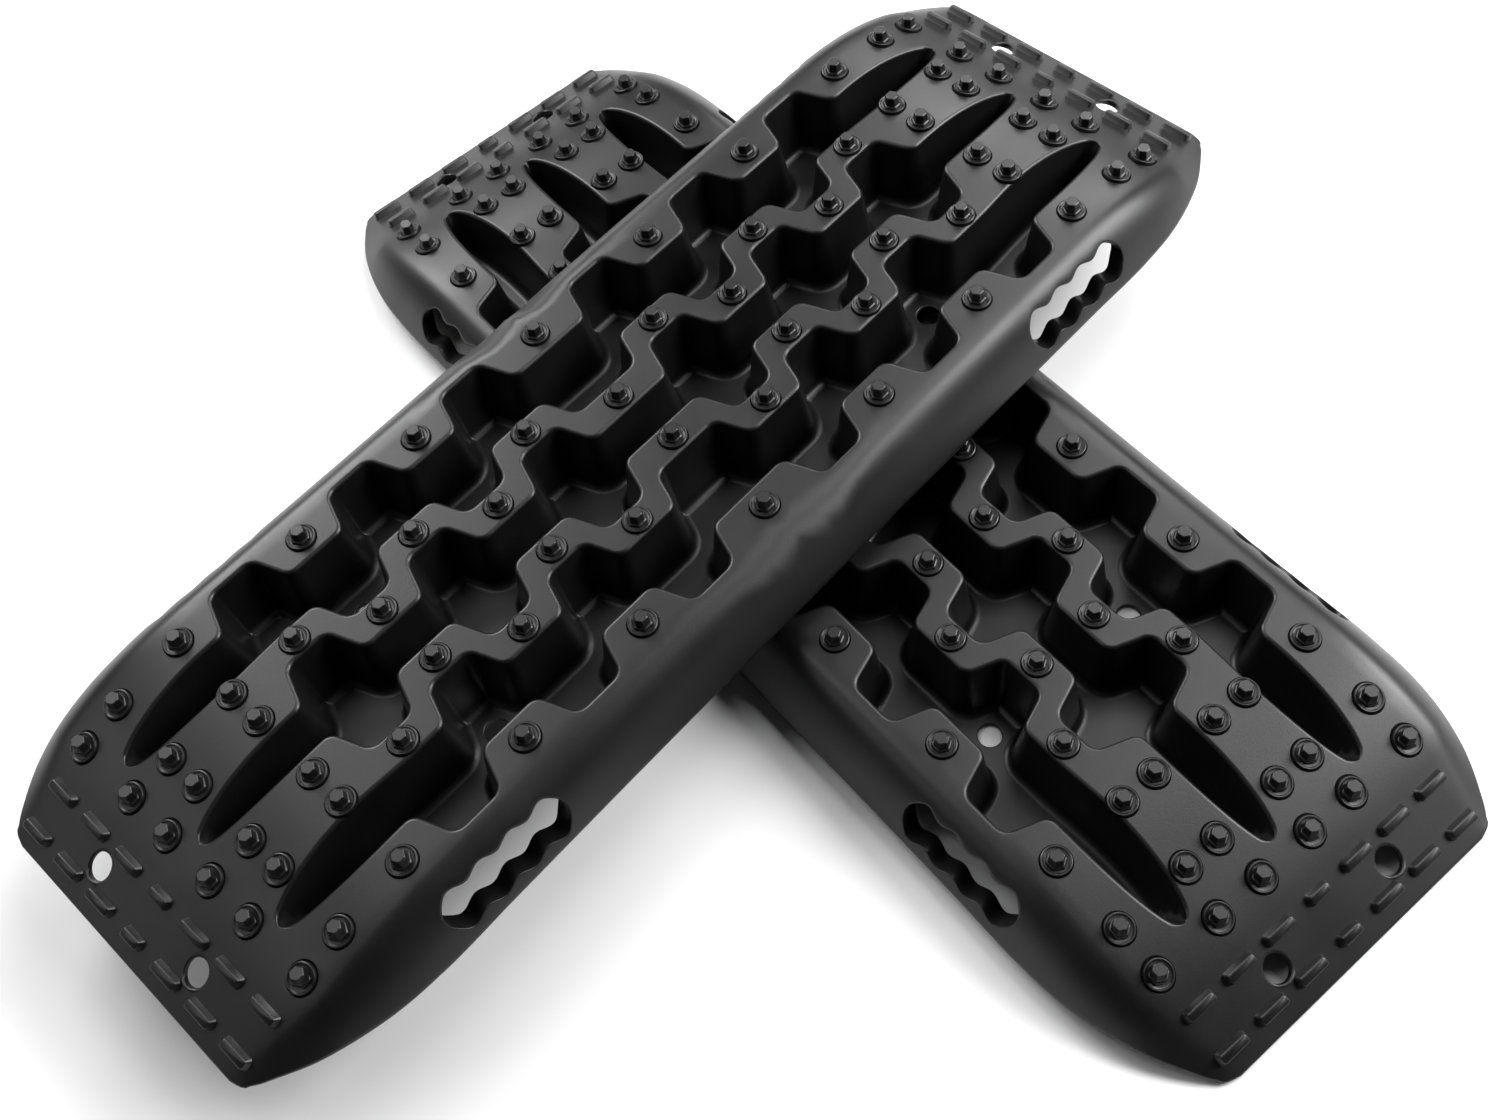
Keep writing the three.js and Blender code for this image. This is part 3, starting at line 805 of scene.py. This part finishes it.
def add_piece(name, vertices, faces, place, material, body, smooth_angle=None, normals=None):
    """A visible piece that rides on a body. Normals, if given, are those of its first vertices."""
    matrix = np.array(place)
    world = np.asarray(vertices) @ matrix[:3, :3].T + matrix[:3, 3]
    mesh = bpy.data.meshes.new(name)
    mesh.from_pydata(world.tolist(), [], faces)
    mesh.update()
    mesh.shade_smooth()
    if smooth_angle:
        mesh.set_sharp_from_angle(angle=math.radians(smooth_angle))
    if normals is not None:
        turned = np.zeros((len(vertices), 3))
        turned[:len(normals)] = normals @ matrix[:3, :3].T / MM
        mesh.normals_split_custom_set_from_vertices(turned.tolist())
    mesh.materials.append(material)
    piece = bpy.data.objects.new(name, mesh)
    bpy.context.scene.collection.objects.link(piece)
    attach(piece, body)
    return piece


# Materials --------------------------------------------------------------------------------------

PLASTIC_SPECULAR = 0.34
SLOW_NOISE_SCALE, SLOW_NOISE_DETAIL = 14, 4
FINE_NOISE_SCALE, FINE_NOISE_DETAIL = 900, 2
NOISE_LOW, NOISE_HIGH = 0.3, 0.7
DARKER, LIGHTER = 0.85, 1.15
ROUGHNESS_SPREAD = 0.04
GRAIN_DEPTH = 0.0004


def noise(material, place, scale, detail):
    texture = material.node_tree.nodes.new("ShaderNodeTexNoise")
    texture.inputs["Scale"].default_value = scale
    texture.inputs["Detail"].default_value = detail
    material.node_tree.links.new(place.outputs["Object"], texture.inputs["Vector"])
    return texture


def plastic(name, colour, roughness, grain):
    """Near-black moulded plastic: a fine grain, a slow change of sheen and of shade."""
    material = bpy.data.materials.new(name)
    material.use_nodes = True
    nodes, links = material.node_tree.nodes, material.node_tree.links
    shader = nodes["Principled BSDF"]
    shader.inputs["Specular IOR Level"].default_value = PLASTIC_SPECULAR
    place = nodes.new("ShaderNodeTexCoord")
    slow = noise(material, place, SLOW_NOISE_SCALE, SLOW_NOISE_DETAIL)
    shade = nodes.new("ShaderNodeValToRGB")
    dark, light = shade.color_ramp.elements
    dark.position = NOISE_LOW
    light.position = NOISE_HIGH
    dark.color = (*[c * DARKER for c in colour], 1)
    light.color = (*[c * LIGHTER for c in colour], 1)
    links.new(slow.outputs["Fac"], shade.inputs["Fac"])
    links.new(shade.outputs["Color"], shader.inputs["Base Color"])
    sheen = nodes.new("ShaderNodeMapRange")
    sheen.inputs["From Min"].default_value = NOISE_LOW
    sheen.inputs["From Max"].default_value = NOISE_HIGH
    sheen.inputs["To Min"].default_value = roughness - ROUGHNESS_SPREAD
    sheen.inputs["To Max"].default_value = roughness + ROUGHNESS_SPREAD
    links.new(slow.outputs["Fac"], sheen.inputs["Value"])
    links.new(sheen.outputs["Result"], shader.inputs["Roughness"])
    fine = noise(material, place, FINE_NOISE_SCALE, FINE_NOISE_DETAIL)
    bump = nodes.new("ShaderNodeBump")
    bump.inputs["Strength"].default_value = grain
    bump.inputs["Distance"].default_value = GRAIN_DEPTH
    links.new(fine.outputs["Fac"], bump.inputs["Height"])
    links.new(bump.outputs["Normal"], shader.inputs["Normal"])
    return material


def plain(name, colour, roughness):
    """One even colour with no gloss."""
    material = bpy.data.materials.new(name)
    material.use_nodes = True
    shader = material.node_tree.nodes["Principled BSDF"]
    shader.inputs["Base Color"].default_value = (*colour, 1)
    shader.inputs["Roughness"].default_value = roughness
    shader.inputs["Specular IOR Level"].default_value = 0.0
    return material


mat_material = plastic("mat plastic", colour=(0.003, 0.003, 0.0031), roughness=0.40, grain=0.12)
stud_material = plastic("stud plastic", colour=(0.007, 0.007, 0.0072), roughness=0.36, grain=0.08)

# Both mats --------------------------------------------------------------------------------------

SHARP_ANGLE = 30

*shell, shell_normals = board_mesh()
board_shape = joined([shell, *cleats()])
rib_seats, rail_seats = seated_studs()
moulded = sorted({
    (side * x, across * y)
    for x, y in rail_seats + end_studs()
    for side in (1, -1)
    for across in (1, -1)
})
MIDDLE_ROW = LAST_BEND + 1

for mat in ("lower", "upper"):
    place = mat_place(mat)
    body = f"{mat}_mat"
    board = add_piece(f"{mat}_board", *board_shape, place, mat_material, body, normals=shell_normals)
    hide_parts(f"{mat}_mat_board")
    studs = [part for x, y in moulded for part in stud_at(x, y)]
    moulded_studs = add_piece(
        f"{mat}_moulded_studs", *joined(studs), place, mat_material, body, SHARP_ANGLE)
    for side, across in (("left", 1), ("right", -1)):
        for number in range(1, 2 * MIDDLE_ROW):
            row = number - MIDDLE_ROW
            x, y = row_x(row), rib_seats[abs(row)][1] * across
            name = f"{mat}_{side}_rib_stud_{number:02d}"
            stud = add_piece(
                f"{name}_visual", *joined(stud_at(x, y)), place, stud_material, body, SHARP_ANGLE)
            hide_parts(name)

# Floor, light and camera ------------------------------------------------------------------------

LIGHT_DISTANCE, LIGHT_SIZE = 2.6, 1.3
LIGHTS = (  # name, direction from the mats, power in watts
    ("right", (0.71, -0.41, 0.57), 114),
    ("back", (0.0, 0.82, 0.57), 74),
    ("back left", (-0.71, 0.41, 0.57), 10),
    ("back right", (0.71, 0.41, 0.57), 44),
    ("high left", (-0.23, 0.41, 0.88), 16),
    ("high right", (0.47, 0.0, 0.88), 30),
)
LIGHTS_AIM = Vector((0.05, 0.0, 0.05))
WORLD_STRENGTH = 0.04
FLOOR_HALF = 30.0
FLOOR_GAP = 0.0005
FLOOR_COLOUR, FLOOR_ROUGHNESS = (0.72, 0.72, 0.72), 0.9
CAMERA_LENS, CAMERA_SENSOR = 40.05, 36
CAMERA_POSITION = (-0.28484, -0.51086, 1.01547)
CAMERA_RIGHT = Vector((0.7611, -0.6412, -0.0974))
CAMERA_BACK = Vector((-0.2556, -0.4345, 0.8636))


def area_light(name, direction, power):
    data = bpy.data.lights.new(name, "AREA")
    data.shape = "DISK"
    data.size = LIGHT_SIZE
    data.energy = power
    light = bpy.data.objects.new(name, data)
    towards = Vector(direction).normalized()
    light.location = LIGHTS_AIM + towards * LIGHT_DISTANCE
    light.rotation_euler = towards.to_track_quat("Z", "Y").to_euler()
    bpy.context.scene.collection.objects.link(light)


def add_floor():
    corners = [(x * FLOOR_HALF, y * FLOOR_HALF, 0) for x, y in ((-1, -1), (1, -1), (1, 1), (-1, 1))]
    mesh = bpy.data.meshes.new("floor")
    mesh.from_pydata(corners, [], [(0, 1, 2, 3)])
    mesh.materials.append(plain("floor", FLOOR_COLOUR, FLOOR_ROUGHNESS))
    floor = bpy.data.objects.new("floor", mesh)
    floor.location.z = cad_box[0][2] - FLOOR_GAP
    bpy.context.scene.collection.objects.link(floor)


def add_world():
    world = bpy.data.worlds.new("room")
    world.use_nodes = True
    background = world.node_tree.nodes["Background"]
    background.inputs["Color"].default_value = (1, 1, 1, 1)
    background.inputs["Strength"].default_value = WORLD_STRENGTH
    bpy.context.scene.world = world


def add_camera():
    data = bpy.data.cameras.new("camera")
    data.lens = CAMERA_LENS
    data.sensor_width = CAMERA_SENSOR
    camera = bpy.data.objects.new("camera", data)
    camera_up = CAMERA_BACK.cross(CAMERA_RIGHT)
    turn = Matrix((CAMERA_RIGHT, camera_up, CAMERA_BACK)).transposed().to_4x4()
    camera.matrix_world = Matrix.Translation(CAMERA_POSITION) @ turn
    bpy.context.scene.collection.objects.link(camera)
    bpy.context.scene.camera = camera


add_floor()
for name, direction, power in LIGHTS:
    area_light(name, direction, power)
add_world()
add_camera()
bpy.context.scene.view_settings.view_transform = "Standard"
